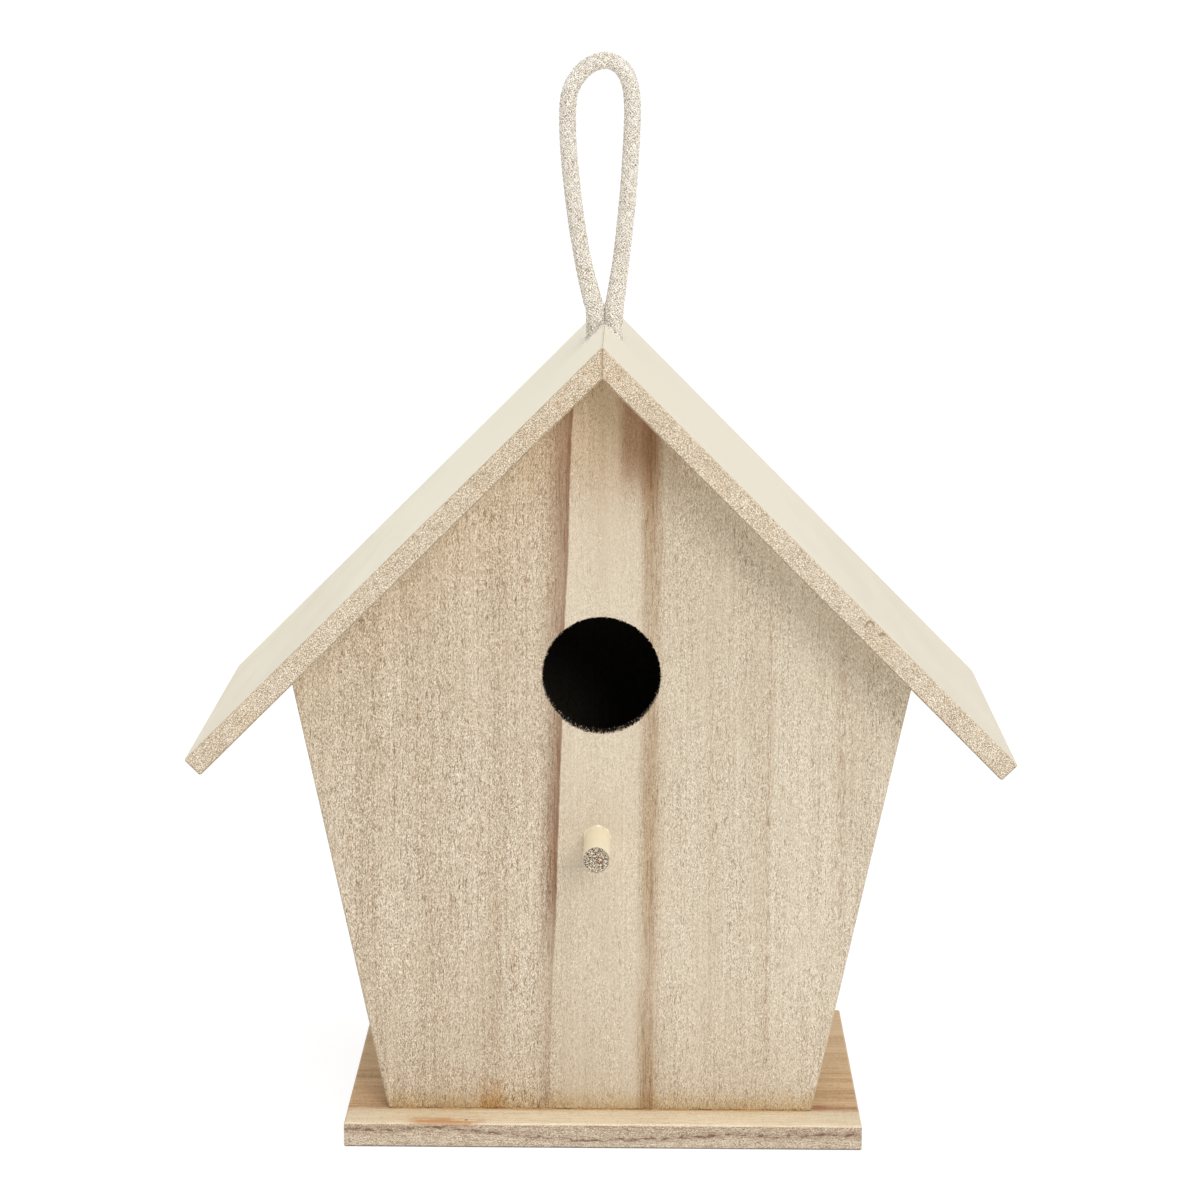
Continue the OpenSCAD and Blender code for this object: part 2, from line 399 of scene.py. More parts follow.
def painted_chamber_shade(n, base):
    """base, with painted shade on the walls of the nest chamber, which is unlit."""
    slack = 0.3 * MM
    inner_half_w = FOOT_HALF_W - WALL_T / math.cos(math.atan(LEAN))
    wall = n.line(n.plus(n.z, -FOOT_Z), LEAN, inner_half_w + slack)
    beside = n.math("ABSOLUTE", n.x)
    inside_x = n.math("LESS_THAN", beside, wall)
    inside_y = n.math("LESS_THAN", n.math("ABSOLUTE", n.y), -FRONT_Y - WALL_T + slack)
    above = n.math("GREATER_THAN", n.z, FOOT_Z - slack)
    below_roof = n.math("LESS_THAN", n.plus(beside, n.z), UNDER_RIDGE_Z + slack)
    inside = n.times(n.times(inside_x, inside_y), n.times(above, below_roof))
    return n.mix(n.times(inside, CHAMBER_SHADE), base, CHAMBER_PAINTED_SHADE)


# ---------------------------------------------------------------- the panels' wood
PANEL_SHADES = shades((0.1, 144, 120, 93), (0.42, 187, 170, 146),
                      (0.62, 203, 188, 165), (0.95, 232, 222, 204))
PANEL_ROUGHNESS = 0.62
# Painted shade colour for the entrance's bore
BORE_SHADE_BLACK = (0.003, 0.002, 0.001, 1)
# How lively the front panel's grain is, by place across: least in the strip through the middle
LIVELY = [(-80 * MM, 1.1), (-15 * MM, 1.0), (-9 * MM, 0.55), (9 * MM, 0.55), (16 * MM, 0.7), (80 * MM, 0.85)]

# The front panel's left streak has a sharp edge that leans; it is at LEFT_EDGE_X at height LEFT_EDGE_Z
LEFT_EDGE_X, LEFT_EDGE_Z, LEFT_EDGE_LEAN = -8.4 * MM, 159 * MM, 0.031
RIGHT_STREAK_X = 12.4 * MM
STREAKS_TOP = 0.2
# Strength and width of the streaks by height, in metres
LEFT_STRENGTH = [(0.0, 0.3), (0.02, 0.2), (0.045, 0.24), (0.056, 0.65), (0.066, 1.0), (0.09, 0.9),
                 (0.104, 0.85), (0.14, 0.65), (0.165, 0.85), (0.2, 0.85)]
LEFT_WIDTH = [(0.0, 0.003), (0.06, 0.0034), (0.1, 0.0038), (0.14, 0.0046), (0.2, 0.0048)]
RIGHT_STRENGTH = [(0.0, 0.85), (0.02, 0.85), (0.042, 0.42), (0.066, 0.75), (0.092, 0.72), (0.13, 0.45),
                  (0.155, 0.7), (0.168, 1.0), (0.2, 1.0)]
FAINT_LINES = [
    # place across, half width, from height, to height, how strong
    (42.5 * MM, 0.9 * MM, 8 * MM, 150 * MM, 0.4),
    (61 * MM, 1.8 * MM, 45 * MM, 140 * MM, 0.3),
    (-43 * MM, 0.9 * MM, 10 * MM, 120 * MM, 0.2),
    (-27 * MM, 2.2 * MM, 8 * MM, 75 * MM, 0.2),
    (-19 * MM, 0.8 * MM, 70 * MM, 165 * MM, 0.25),
    (28 * MM, 0.7 * MM, 20 * MM, 120 * MM, 0.2),
]
PATCH_X = 9.2 * MM
FOOT_STAIN_X = -28 * MM


def warm_gable_and_ridge_shade(n, base, fibres):
    """Redder wood at the upper left, painted shade darkening it towards the ridge, and a brown patch to its
    right.
    """
    blush = n.step(n.noise((4 * MM, 4 * MM, 16 * MM), 41.0, 2), 0.5, 0.72)
    upper_left = n.times(n.step(n.z, 105 * MM, 160 * MM), n.step(n.x, -6 * MM, -14 * MM))
    blush = n.plus(n.times(blush, n.line(n.step(n.x, 10 * MM, -25 * MM), 0.3, 0.05)),
                   n.times(upper_left, 0.4))
    base = n.stain(blush, base, 1.0, 0.93, 0.87)
    # Painted shade under the roof's apex, strongest near the middle
    ridge_shade_height = n.line(n.math("ABSOLUTE", n.x), -0.6, n.z)
    base = n.stain(n.times(n.step(ridge_shade_height, 142 * MM, 186 * MM), 0.95), base, 0.88, 0.79, 0.71)
    ragged_x = n.plus(n.x, n.swing(fibres, 1.2 * MM))
    patch = n.times(n.band(ragged_x, PATCH_X, 2.6 * MM, 3.8 * MM), n.step(n.z, 162 * MM, 178 * MM))
    return n.stain(patch, base, 0.68, 0.54, 0.46)


def left_streak(n, wander, ragged):
    """The left streak's masks: its brown core, the dark line at its edge, a faint halo, and its whole side."""
    edge = n.line(n.plus(n.z, -LEFT_EDGE_Z), LEFT_EDGE_LEAN, LEFT_EDGE_X)
    left = n.math("SUBTRACT", n.plus(edge, n.plus(wander, n.times(ragged, 0.35))), n.x)
    strength = n.curve(n.z, 0.0, STREAKS_TOP, LEFT_STRENGTH)
    width = n.curve(n.z, 0.0, STREAKS_TOP, LEFT_WIDTH)
    side = n.step(left, -0.15 * MM, 0.35 * MM)
    fade = n.step(n.math("DIVIDE", n.plus(left, ragged), width), 1.6, 0.1)
    core = n.times(n.times(side, fade), strength)
    rim = n.times(n.times(side, n.step(left, 1.1 * MM, 0.6 * MM)), strength)
    halo = n.times(side, n.step(left, 12 * MM, 0.5 * MM))
    return core, rim, halo, side


def right_streak(n, wander, ragged):
    """The right streak's mask, soft on both sides."""
    centre = n.plus(n.line(wander, 1.4, RIGHT_STREAK_X), ragged)
    strength = n.curve(n.z, 0.0, STREAKS_TOP, RIGHT_STRENGTH)
    return n.times(n.step(n.gap(n.x, centre), 3.8 * MM, 0.5 * MM), strength)


def draw_streaks(n, base, pores, fibres):
    """Two upright brown streaks that keep the wood's texture, and a paler strip between them."""
    wander = n.swing(n.noise((40 * MM, 40 * MM, 30 * MM), 2.2, 1), 1.2 * MM)
    ragged = n.swing(n.noise((0.5 * MM, 2 * MM, 2.5 * MM), 5.2, 2, 0.7), 1.6 * MM)
    core, rim, halo, left_side = left_streak(n, wander, ragged)
    ochre = right_streak(n, wander, ragged)
    patchy = n.swing(fibres, 1.3, 0.95, clamp=True)
    base = n.stain(n.times(halo, 0.22), base, 0.86, 0.8, 0.75)
    base = n.stain(n.times(core, patchy), base, 0.5, 0.37, 0.29)
    base = n.stain(n.times(ochre, patchy), base, 0.71, 0.59, 0.46)
    dark_pores = n.times(n.math("ADD", core, ochre, clamp=True), pores)
    base = n.mix(n.times(dark_pores, 0.6), base, colour(112, 78, 58))
    hairlines = n.step(n.noise((0.34 * MM, 1 * MM, 9 * MM), 44.3, 2, 0.7), 0.52, 0.62)
    hairlines = n.times(hairlines, n.math("ADD", core, n.times(ochre, 0.85), clamp=True))
    base = n.mix(n.times(hairlines, 0.7), base, colour(118, 78, 54))
    base = n.mix(n.times(n.times(rim, patchy), 0.45), base, colour(126, 84, 62))
    strip = n.times(n.math("SUBTRACT", 1.0, left_side), n.step(n.x, 11 * MM, 8.5 * MM))
    paleness = n.times(n.line(n.step(n.z, 40 * MM, 140 * MM), 0.2, 0.06), n.step(n.z, 176 * MM, 156 * MM))
    return n.mix(n.times(strip, paleness), base, colour(232, 221, 199))


def draw_faint_lines(n, base):
    """A slightly duller lower part, and broken upright lines."""
    base = n.stain(n.step(n.z, 50 * MM, 12 * MM), base, 0.94, 0.92, 0.9)
    fade = 15 * MM
    for line_x, half_w, low, high, strength in FAINT_LINES:
        line = n.times(n.band(n.x, line_x, 0.1 * half_w, 0.9 * half_w), n.step(n.z, low, low + fade))
        line = n.times(line, n.step(n.z, high, high - fade))
        dashes = n.step(n.noise((0.4 * MM, 1 * MM, 3 * MM), line_x * 900, 2), 0.44, 0.6)
        base = n.mix(n.times(n.times(line, dashes), 1.4 * strength), base, colour(150, 118, 84))
    return base


def glued_foot(n, base):
    """A damp yellow rim, an orange stain and dark specks where the panel is glued to the base."""
    spread = n.noise((3 * MM, 3 * MM, 4 * MM), 31.0, 3)
    damp_z = n.math("SUBTRACT", n.z, n.times(spread, 6 * MM))
    base = n.stain(n.times(n.step(damp_z, FOOT_Z + 3.5 * MM, FOOT_Z - 3 * MM), 0.85), base, 0.86, 0.74, 0.52)
    stain_z = n.math("SUBTRACT", n.z, n.times(spread, 12 * MM))
    stain = n.times(n.band(n.x, FOOT_STAIN_X, 1.2 * MM, 4 * MM),
                    n.step(stain_z, FOOT_Z + 5 * MM, FOOT_Z - 4 * MM))
    base = n.stain(n.times(stain, 0.8), base, 0.85, 0.64, 0.4)
    specks = n.times(n.step(n.noise((0.5 * MM, 1 * MM, 0.4 * MM), 71.0, 1), 0.52, 0.64),
                     n.step(n.z, FOOT_Z + 1.1 * MM, FOOT_Z + 0.3 * MM))
    return n.mix(n.times(specks, 0.75), base, colour(112, 78, 44))


def bore_shade_mask(n):
    """1 in the bore of the entrance, behind its torn edge, where painted shade goes."""
    from_centre = n.add("ShaderNodeVectorMath", {0: n.place, 1: tuple(HOLE_CENTRE)}, operation="SUBTRACT")
    across, _, up = n.split(from_centre.outputs[0])
    tear = n.times(n.noise((0.5 * MM, 0.5 * MM, 0.5 * MM), 51.0, 2), 0.9 * MM)
    return n.times(n.math("LESS_THAN", n.length(across, up), HOLE_R + 0.12 * MM),
                   n.math("GREATER_THAN", n.plus(n.y, tear), FRONT_Y + 0.5 * MM))


def panel_wood(name, is_front):
    """Pale bare wood with its grain upright."""
    n = Nodes(name, PANEL_ROUGHNESS, Specular_IOR_Level=WOOD_GLOSS)
    lively = n.curve(n.x, LIVELY[0][0], LIVELY[-1][0], LIVELY) if is_front else 0.8
    tone, pores, flecks, fibres = wood_grain(n, 2, 1.0, 0.0 if is_front else 40.0, lively)
    long_lines = n.noise((0.6 * MM, 0.6 * MM, 80 * MM), 23.24, 2)
    tone = n.line(n.times(n.plus(long_lines, -0.5), lively), 0.2, tone)
    if is_front:
        # Lighter towards the right: partly the wood's own tone, partly painted light on the shaded right side
        tone = n.line(n.step(n.x, -60 * MM, 70 * MM), 0.12, tone)
    base = n.ramp(tone, PANEL_SHADES)
    base = n.mix(n.times(pores, 0.85), base, colour(126, 98, 70))
    base = n.mix(n.times(flecks, 1.1), base, colour(252, 244, 222))
    roughness = None
    if is_front:
        base = warm_gable_and_ridge_shade(n, base, fibres)
        base = draw_streaks(n, base, pores, fibres)
        base = draw_faint_lines(n, base)
        base = glued_foot(n, base)
        # Painted shade: the entrance's bore is painted black and made fully rough, so it shows no sheen
        bore = bore_shade_mask(n)
        base = n.mix(bore, base, BORE_SHADE_BLACK)
        roughness = n.line(bore, 1 - PANEL_ROUGHNESS, PANEL_ROUGHNESS)
    height = n.line(pores, -0.8, fibres)
    return n.done(painted_chamber_shade(n, base), height, 0.07 * MM, 0.8, roughness)


# ---------------------------------------------------------------- the roof's wood
END_GRAIN_SHADES = shades((0.1, 146, 122, 95), (0.45, 199, 182, 157),
                          (0.62, 213, 198, 174), (0.95, 246, 236, 216))
# The left board's top is paler than the right's: painted light, as the key light reaches that board less
LEFT_TOP_PAINTED_LIGHT_SHADES = shades((0.3, 236, 226, 202), (0.7, 254, 247, 226))
RIGHT_TOP_SHADES = shades((0.3, 221, 211, 191), (0.7, 232, 224, 204))
# Small curls in the right board's end grain, as (place across, height, radius)
END_CURLS = [(66 * MM, 137.8 * MM, 0.9 * MM), (69 * MM, 135.3 * MM, 0.5 * MM)]


def end_grain(n, shift, level, speck, downward_shade, curls):
    """Speckled end grain, warmer towards the ridge, with painted shade on the edges that face down."""
    tone = n.swing(speck, 7.2, level)
    tone = n.swing(n.noise((7 * MM, 7 * MM, 7 * MM), shift + 4, 2), 0.35, tone)
    cut = n.ramp(tone, END_GRAIN_SHADES)
    ochre = n.step(n.noise((6 * MM, 6 * MM, 6 * MM), shift + 14, 2), 0.52, 0.7)
    cut = n.stain(n.times(ochre, 0.3), cut, 0.96, 0.88, 0.74)
    cut = n.stain(n.step(n.z, 150 * MM, RIDGE_Z - 8 * MM), cut, 0.99, 0.965, 0.93)
    # Painted shade on the end grain's faces that point down
    cut = n.stain(n.times(downward_shade, 0.9), cut, 0.72, 0.68, 0.62)
    for curl_x, curl_z, curl_r in curls:
        across, up = n.plus(n.x, -curl_x), n.plus(n.z, -curl_z)
        curl = n.times(n.band(n.length(across, up), curl_r, 0.15 * MM, 0.35 * MM),
                       n.step(up, -0.9 * curl_r, 0.2 * curl_r))
        curl = n.times(curl, n.step(speck, 0.38, 0.55))
        cut = n.mix(n.times(curl, 0.75), cut, colour(128, 96, 58))
    return cut


def mitre_lines(n, base):
    """The ridge's joint: a dark worn line, with a faint line of painted shade beside it for a groove."""
    high = n.step(n.z, RIDGE_Z - 14 * MM, RIDGE_Z - 8 * MM)
    # Painted shade of a small groove beside the joint
    groove_shade = n.times(n.band(n.x, -0.25 * MM, 0.12 * MM, 0.15 * MM), high)
    base = n.mix(n.times(groove_shade, 0.25), base, colour(188, 166, 134))
    worn = n.step(n.noise((1 * MM, 1.2 * MM, 1 * MM), 77.0, 2), 0.35, 0.6)
    mitre = n.times(n.times(n.band(n.x, 0.0, 0.03 * MM, 0.14 * MM), high), worn)
    return n.mix(n.times(mitre, 0.6), base, colour(128, 98, 66))


def roof_wood(name, shift, top_shades, end_level, curls=()):
    """Very pale, finely sanded top, and speckled end grain on the front and back edges."""
    n = Nodes(name, 0.55, Specular_IOR_Level=WOOD_GLOSS)
    tone = wood_grain(n, 1, 1.0, shift)[0]
    _, facing_y, facing_z = n.facing()
    end = n.step(n.math("ABSOLUTE", facing_y), 0.5, 0.7)
    downward_shade = n.step(facing_z, -0.3, -0.48)
    top_tone = n.swing(tone, 0.14, 0.5)
    top_tone = n.swing(n.noise((14 * MM, 40 * MM, 14 * MM), shift + 2, 2), 0.35, top_tone)
    top_tone = n.line(n.step(n.z, 120 * MM, RIDGE_Z), 0.45, top_tone)
    top = n.ramp(top_tone, top_shades)
    speck = n.noise((0.19 * MM, 0.19 * MM, 0.19 * MM), shift + 9, 2, 0.8)
    base = n.mix(end, top, end_grain(n, shift, end_level, speck, downward_shade, curls))
    base = painted_chamber_shade(n, mitre_lines(n, base))
    height = n.times(speck, n.line(end, 0.9, 0.1))
    return n.done(base, height, 0.09 * MM, 0.8)


# ---------------------------------------------------------------- the base's wood
FRONT_TOP_SHADES = shades((0.2, 206, 180, 144), (0.45, 229, 211, 180), (0.75, 247, 235, 210))
SIDE_TOP_SHADES = shades((0.15, 160, 110, 74), (0.42, 199, 160, 119),
                         (0.62, 221, 186, 143), (0.9, 238, 212, 174))
BASE_EDGE_SHADES = shades((0.05, 124, 97, 76), (0.4, 165, 144, 120),
                          (0.62, 184, 165, 141), (0.95, 219, 205, 183))
SIDE_BANDS = [
    # place from front to back, and how pale the base's top is there at the house's sides
    (-51 * MM, 0.5), (-41 * MM, 0.5), (-38 * MM, 0.22), (-35.5 * MM, 0.36), (-31 * MM, 0.5), (-26 * MM, 0.4),
    (-21 * MM, 0.54), (-16 * MM, 0.68), (-13.5 * MM, 0.38), (-9 * MM, 0.5), (-2 * MM, 0.66), (6 * MM, 0.6),
    (14 * MM, 0.74), (20 * MM, 0.6), (30 * MM, 0.76), (50 * MM, 0.6),
]
BASE_VEIN = [
    # place across, and height of the dark vein in the front edge
    (-54 * MM, 4.6 * MM), (-43 * MM, 5.4 * MM), (-33 * MM, 4.7 * MM), (-22 * MM, 3.4 * MM),
    (-12 * MM, 2.9 * MM), (-3 * MM, 2.2 * MM), (6 * MM, 2.4 * MM), (15 * MM, 2.6 * MM),
    (26 * MM, 3.5 * MM), (36 * MM, 3.9 * MM), (44 * MM, 3.4 * MM), (53 * MM, 4.0 * MM),
]
RED_SPOT_X = 57 * MM
LIP_STAIN_X = -39 * MM
LIP_KNOT_X = -34 * MM


def base_side_top(n, calm, bands):
    """The top at the house's sides: bands of tan and brown, and a red spot by the panel's right foot."""
    place_y = n.plus(n.y, n.swing(bands, 9 * MM))
    tone = n.swing(bands, 0.6, calm)
    tone = n.plus(tone, n.curve(place_y, -51 * MM, 50 * MM, SIDE_BANDS))
    tone = n.plus(tone, n.line(n.step(n.x, -20 * MM, 20 * MM), 0.01, -0.395))
    top = n.ramp(tone, SIDE_TOP_SHADES)
    spot = n.length(n.plus(n.x, -RED_SPOT_X), n.times(n.plus(n.y, -FRONT_Y - 2.4 * MM), 0.7))
    spot = n.step(n.plus(spot, n.times(bands, 1.5 * MM)), 3.4 * MM, 1.2 * MM)
    return n.mix(n.times(spot, 0.6), top, colour(170, 100, 62))


def base_top(n, tone):
    """Pale and smooth in front of the panel, tan at its left end, with an orange stain and a small knot."""
    bands = n.noise((50 * MM, 4 * MM, 4 * MM), 12.0, 3, 0.6, 0.8)
    streaks = n.noise((9 * MM, 0.5 * MM, 0.5 * MM), 91.0, 2, 0.7)
    calm = n.swing(streaks, 0.8, n.swing(tone, 0.55, 0.5))
    front_top = n.ramp(calm, FRONT_TOP_SHADES)
    front_top = n.stain(n.step(n.x, -24 * MM, -42 * MM), front_top, 0.94, 0.91, 0.87)
    behind = n.step(n.plus(n.y, n.times(bands, 3 * MM)), FRONT_Y - 1 * MM, FRONT_Y + 4 * MM)
    top = n.mix(behind, front_top, base_side_top(n, calm, bands))
    near_lip = n.step(n.y, BASE_LOW.y + 7 * MM, BASE_LOW.y + 2 * MM)
    stain = n.times(n.times(n.band(n.x, LIP_STAIN_X, 6 * MM, 6 * MM), near_lip),
                    n.step(n.noise((5 * MM, 1.6 * MM, 2 * MM), 19.0, 3), 0.32, 0.56))
    top = n.mix(n.times(stain, 0.95), top, colour(200, 150, 106))
    knot_off = n.length(n.plus(n.x, -LIP_KNOT_X), n.plus(n.y, -BASE_LOW.y - 2.6 * MM))
    return n.mix(n.times(n.step(knot_off, 0.75 * MM, 0.3 * MM), 0.8), top, colour(112, 72, 44))


def base_edge(n, tone):
    """The edges all round: streaked and speckled, with a wavy dark vein, and a dark line at the floor that is
    a painted contact shadow.
    """
    tone = n.swing(n.noise((0.5 * MM, 0.17 * MM, 0.17 * MM), 27.0, 2, 0.8), 2.2, tone)
    tone = n.swing(n.noise((3 * MM, 0.35 * MM, 0.35 * MM), 33.0, 3, 0.7), 1.4, tone)
    tone = n.plus(tone, n.line(n.step(n.z, 4.5 * MM, 1.5 * MM), 0.14, -0.05))
    edge = n.ramp(tone, BASE_EDGE_SHADES)
    vein_z = n.curve(n.x, BASE_VEIN[0][0], BASE_VEIN[-1][0], BASE_VEIN)
    wave = n.swing(n.noise((4 * MM, 4 * MM, 4 * MM), 8.0, 3, 0.6), 2.4 * MM)
    vein_off = n.gap(n.z, n.plus(vein_z, wave))
    broken = n.step(n.noise((2.5 * MM, 4 * MM, 0.7 * MM), 21.0, 2), 0.42, 0.62)
    vein = n.times(n.step(vein_off, 0.6 * MM, 0.15 * MM), broken)
    edge = n.mix(n.times(vein, 0.9), edge, colour(100, 66, 50))
    edge = n.mix(n.times(n.step(vein_off, 1.5 * MM, 0.3 * MM), 0.22), edge, colour(128, 102, 84))
    # Painted contact shadow: a thin grey line where the base meets the floor
    contact_shadow_line = n.step(n.plus(n.z, n.times(wave, 0.1)), 0.6 * MM, 0.25 * MM)
    return n.mix(n.times(contact_shadow_line, 0.9), edge, colour(96, 90, 88))


def base_wood(name):
    """Warmer wood with its grain from side to side."""
    n = Nodes(name, 0.6, Specular_IOR_Level=WOOD_GLOSS)
    tone, pores, flecks, fibres = wood_grain(n, 0, 0.85, 57.06)
    upward = n.step(n.facing()[2], 0.4, 0.8)
    base = n.mix(upward, base_edge(n, tone), base_top(n, tone))
    base = n.mix(n.times(pores, 0.4), base, colour(132, 98, 70))
    base = n.mix(n.times(flecks, n.line(upward, -0.45, 0.9)), base, colour(248, 236, 214))
    return n.done(painted_chamber_shade(n, base), n.line(pores, -0.8, fibres), 0.07 * MM, 0.8)


# ---------------------------------------------------------------- the small pieces' materials
PERCH_SIDE_SHADES = shades((0.2, 235, 218, 182), (0.8, 253, 245, 221))
PERCH_END_SHADES = shades((0.39, 36, 26, 20), (0.46, 112, 90, 70),
                          (0.53, 186, 166, 136), (0.61, 252, 241, 218))


def perch_wood(name):
    """A pale dowel, with a rough grey-brown cut end and a small red ring in it."""
    n = Nodes(name, 0.5, Specular_IOR_Level=0.3)
    side = n.ramp(wood_grain(n, 1, 0.35, 83.0)[0], PERCH_SIDE_SHADES)
    speck = n.noise((0.23 * MM, 0.23 * MM, 0.23 * MM), 14.0, 1, 0.8, 0.6)
    cut = n.ramp(speck, PERCH_END_SHADES)
    ring_off = n.length(n.plus(n.x, -PERCH_AXIS.x - 0.9 * MM), n.plus(n.z, -PERCH_AXIS.z))
    cut = n.mix(n.times(n.band(ring_off, 0.75 * MM, 0.1 * MM, 0.3 * MM), 0.55), cut, colour(122, 70, 60))
    end = n.step(n.y, PERCH_LOW.y + 0.5 * MM, PERCH_LOW.y + 0.25 * MM)
    height = n.times(speck, n.plus(end, 0.1))
    return n.done(n.mix(end, side, cut), height, 0.25 * MM, 1.0)


def brad_steel(name):
    """Plain steel, a little mottled."""
    n = Nodes(name, 0.38, Metallic=1.0)
    spots = n.noise((0.6 * MM, 0.6 * MM, 0.6 * MM), 1.0, 3)
    return n.done(n.ramp(spots, shades((0.3, 150, 148, 146), (0.7, 205, 204, 202))), spots, 0.05 * MM)


def cotton(name, deep=(146, 122, 94), spread=0.2, speckled=0.8):
    """Undyed cotton yarn: cream, with tan shadow between its strands, brown specks and fine fibres."""
    n = Nodes(name, 0.85, Specular_IOR_Level=0.15, Sheen_Weight=0.25, Sheen_Roughness=0.5)
    own = n.add("ShaderNodeAttribute", attribute_name="tone").outputs["Fac"]
    yarn = n.noise((0.34 * MM, 0.34 * MM, 0.34 * MM), 3.0, 3, 0.8)
    tone = n.swing(own, spread, n.swing(yarn, 5.2, 0.63))
    base = n.ramp(tone, shades((0.05, *deep), (0.4, 228, 217, 199),
                               (0.65, 248, 241, 228), (0.95, 255, 254, 248)))
    specks = n.step(n.noise((0.26 * MM, 0.26 * MM, 0.26 * MM), 8.0, 1), 0.61, 0.67)
    base = n.mix(n.times(specks, speckled), base, colour(116, 90, 66))
    return n.done(base, yarn, 0.14 * MM, 1.0)


def dried_glue(name, r, g, b):
    """Smooth dried glue in a screen colour, browner in spots."""
    n = Nodes(name, 0.35, Specular_IOR_Level=0.4)
    spots = n.noise((1.5 * MM, 1.5 * MM, 1.5 * MM), 6.0, 3)
    base = n.ramp(spots, shades((0.3, 0.72 * r, 0.68 * g, 0.6 * b), (0.65, r, g, b)))
    return n.done(base, spots, 0.15 * MM)


def splinter_wood(name):
    """Torn wood fibres."""
    n = Nodes(name, 0.7)
    spots = n.noise((0.4 * MM, 0.4 * MM, 0.4 * MM), 2.0, 2)
    return n.done(n.ramp(spots, shades((0.3, 190, 160, 126), (0.7, 238, 222, 196))), spots)


# ---------------------------------------------------------------- the hanging cord
cotton_cord = cotton("cotton_cord")
rng = random.Random(11)  # every random draw comes from this one, in order
cord_line = smooth_line([(x * MM, 0, RIDGE_Z + h * MM) for x, h in CORD_ROUTE])


def make_cord():
    """The braided cord itself, from one root round to the other."""
    sleeve = Mesh()
    braid(sleeve, cord_line, CORD_D / 2, rng)
    cord = sleeve.finish("braided_cord", cotton_cord)
    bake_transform(cord)
    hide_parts("cord_loop", "cord_root")
    return cord


def make_fuzz():
    """Loose fibres that stand out of the cord all along it."""
    fuzz = Mesh()
    centres, _ = evenly(cord_line, 0.12 * MM)
    for centre, side, up in zip(centres, *carried_sides(centres)):
        if centre[2] < RIDGE_Z - 3 * MM:
            continue
        turn = rng.uniform(0, 2 * math.pi)
        out = side * math.cos(turn) + up * math.sin(turn)
        heading = out + 0.9 * np.array([rng.uniform(-1, 1) for _ in range(3)])
        root = centre + out * (0.92 * CORD_D / 2)
        hair(fuzz, root, heading, rng.uniform(0.25, 0.9) * MM, rng.uniform(0.018, 0.035) * MM, rng, 0.7)
    piece = fuzz.finish("cord_fuzz", cotton_cord)
    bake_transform(piece)
    return piece


KNOT_Z = 189 * MM


def make_knot():
    """Both ends tied under the ridge: one goes straight down, the other is hitched round it."""
    wrap_r, wrap_pitch = 4.6 * MM, 4.7 * MM
    down = [(LEG_X * MM, 0, RIDGE_Z - 13 * MM), (1.9 * MM, 0, KNOT_Z + 3 * MM), (0.4 * MM, 0, KNOT_Z),
            (0.9 * MM, 0, KNOT_Z - 4 * MM), (3.6 * MM, 0, KNOT_Z - 9 * MM), (5.6 * MM, 0, KNOT_Z - 13 * MM)]
    turns = np.linspace(0, 2.5 * math.pi, 16)
    wrap = [(-wrap_r * math.cos(a), -wrap_r * math.sin(a), KNOT_Z + 2.2 * MM - wrap_pitch * a / (2 * math.pi))
            for a in turns]
    hitched = ([(-LEG_X * MM, 0, RIDGE_Z - 13 * MM)] + wrap
               + [(-3.2 * MM, -2.4 * MM, KNOT_Z - 7 * MM), (-5.2 * MM, -0.6 * MM, KNOT_Z - 12.5 * MM)])
    knot = Mesh()
    for line in (down, hitched):
        braid(knot, smooth_line(line), CORD_D / 2, rng, 0.36 * MM)
    piece = knot.finish("tied_knot", cotton_cord)
    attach(piece, "house")
    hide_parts("cord_knot")
    return piece


def make_fray():
    """Fibres rubbed loose where the cord passes the edge of its hole in the ridge, most on the left leg."""
    fray = Mesh()
    # pale fibres round the hole
    for _ in range(900):
        turn = rng.uniform(0, 2 * math.pi)
        reach = rng.uniform(3.2, 5.3) * MM
        x, y = reach * math.cos(turn), reach * math.sin(turn)
        if x > 0 and rng.random() < 0.35:
            continue
        root = (x, y, RIDGE_Z - abs(x) + rng.uniform(-0.9, 0.1) * MM)
        heading = (math.copysign(1, x) * rng.uniform(-0.5, 0.9), math.sin(turn) * rng.uniform(-0.3, 0.9),
                   rng.uniform(-0.5, 0.9))
        hair(fray, root, heading, rng.uniform(0.5, 1.7) * MM, rng.uniform(0.035, 0.06) * MM, rng, 0.6, 0.9)
    # dark flecks on the front of the left leg
    for _ in range(32):
        turn = rng.uniform(1.1, 1.95) * math.pi
        height = rng.uniform(-1.5, 3) * MM
        root = (-LEG_X * MM + 1.1 * CORD_D / 2 * math.cos(turn), 1.1 * CORD_D / 2 * math.sin(turn),
                RIDGE_Z - LEG_X * MM + height)
        heading = (0.6 * math.cos(turn), 0.6 * math.sin(turn), rng.uniform(-1, 0.8))
        hair(fray, root, heading, rng.uniform(0.35, 0.7) * MM, rng.uniform(0.09, 0.14) * MM, rng, 0.5, 0.1)
    piece = fray.finish("frayed_fibres", cotton("worn_cotton", (116, 92, 68), 1.3, 0.45))
    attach(piece, "house")


